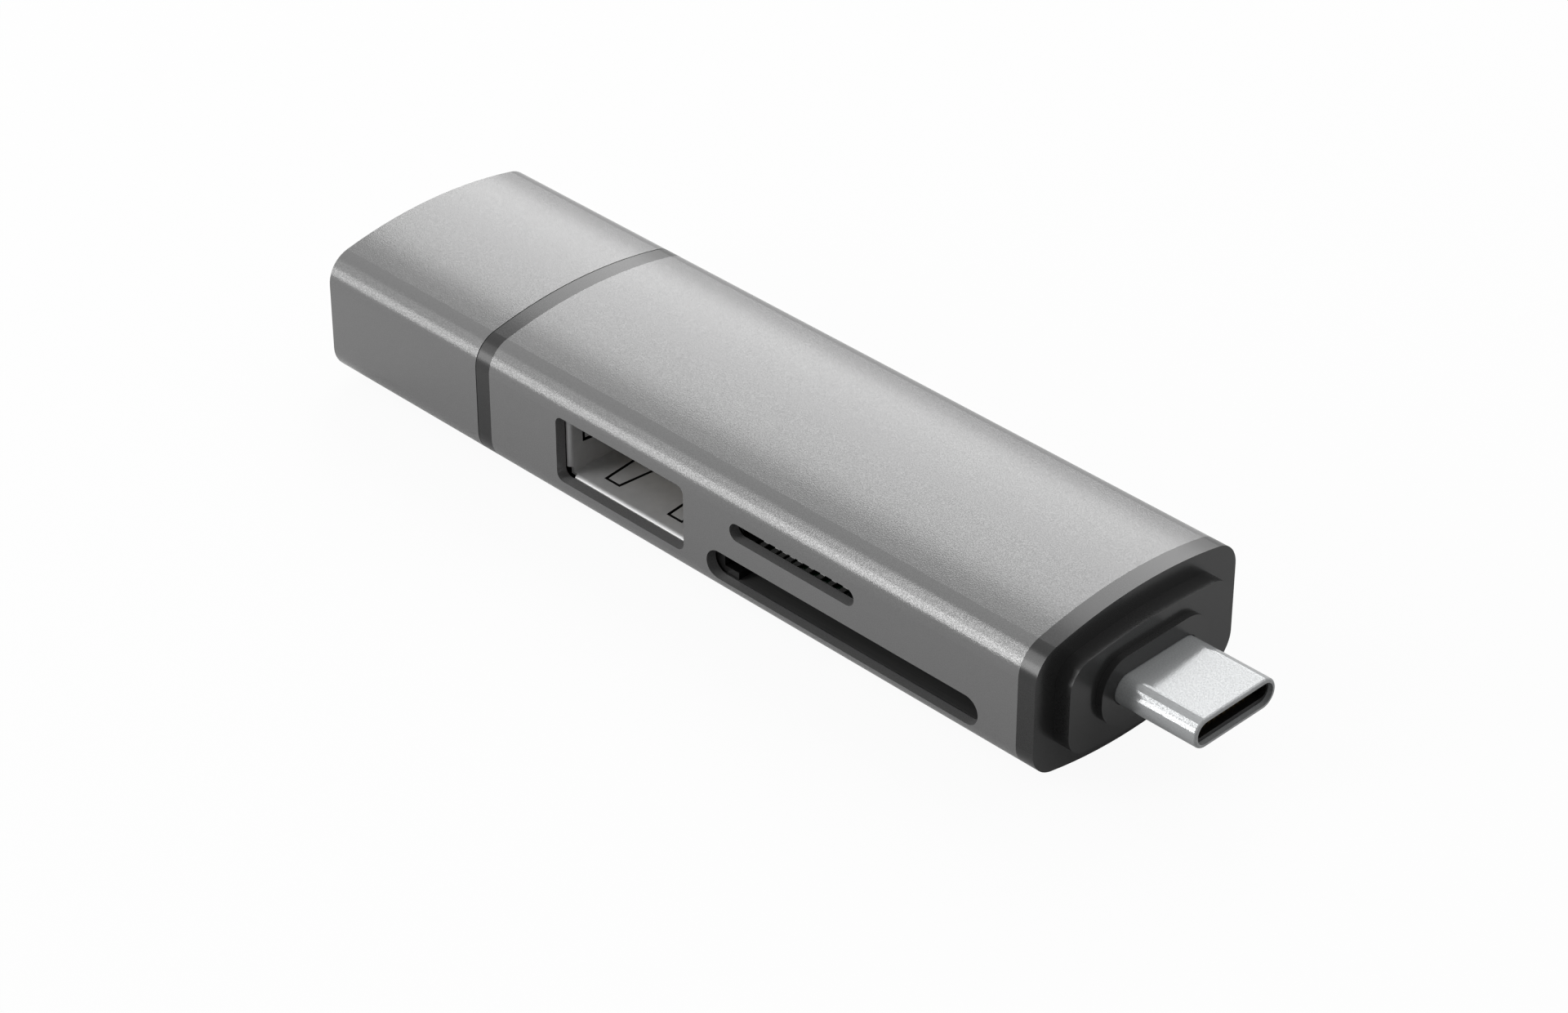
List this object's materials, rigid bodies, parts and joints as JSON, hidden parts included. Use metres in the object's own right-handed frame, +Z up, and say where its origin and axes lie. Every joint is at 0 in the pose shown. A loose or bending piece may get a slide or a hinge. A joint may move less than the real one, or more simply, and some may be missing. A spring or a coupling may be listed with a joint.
{
  "type": "usb memory card reader",
  "caption": "Slim aluminium card reader with a USB-C plug at one end, a capped USB-A plug at the other, and a USB-A port, microSD slot and SD slot along one side.",
  "frame": {"origin": "middle of the footprint, on the surface that the reader lies on", "axes": "+X along the reader towards its USB-C plug, +Y away from the slotted side, +Z up through the arched top"},
  "size_m": [0.0806, 0.0202, 0.012],
  "materials": {
    "sleeve_aluminium": "bead-blasted and anodised grey",
    "end_plug_plastic": "moulded, fine satin",
    "plug_steel": "nickel-plated, fine satin",
    "cover_steel": "rolled stainless sheet",
    "contact_gold": "gold-plated",
    "contact_tin": "tin-plated",
    "socket_plastic": "moulded black",
    "board_resin": "green solder mask",
    "chip_resin": "moulded",
    "capacitor_tan": "fired ceramic"
  },
  "bodies": {
    "reader": {"body_shell": "sleeve_aluminium", "front_end_plug": "end_plug_plastic", "rear_end_plug": "end_plug_plastic", "usb_c_plug_shell": "plug_steel", "usb_c_plug_insulator": "socket_plastic", "usb_c_plug_contacts": "contact_gold", "usb_c_mid_plate": "cover_steel", "usb_a_plug_shell": "plug_steel", "usb_a_plug_tongue": "socket_plastic", "usb_a_plug_contacts": "contact_gold", "usb_a_port_shell": "plug_steel", "usb_a_port_tongue": "socket_plastic", "usb_a_port_contacts": "contact_gold", "microsd_socket_base": "socket_plastic", "microsd_socket_cover": "cover_steel", "microsd_contacts": "contact_tin", "sd_socket_base": "socket_plastic", "sd_socket_cover": "cover_steel", "sd_contacts": "contact_gold", "circuit_board": "board_resin", "controller_chip": "chip_resin", "crystal": "cover_steel", "capacitors": "capacitor_tan"},
    "cap": {"cap_shell": "sleeve_aluminium", "cap_liner": "end_plug_plastic"}
  },
  "joints": [
    {"name": "cap_pull", "type": "slide", "parent": "reader", "child": "cap", "axis": [-1, 0, 0], "range_m": [0, 0.018]}
  ]
}
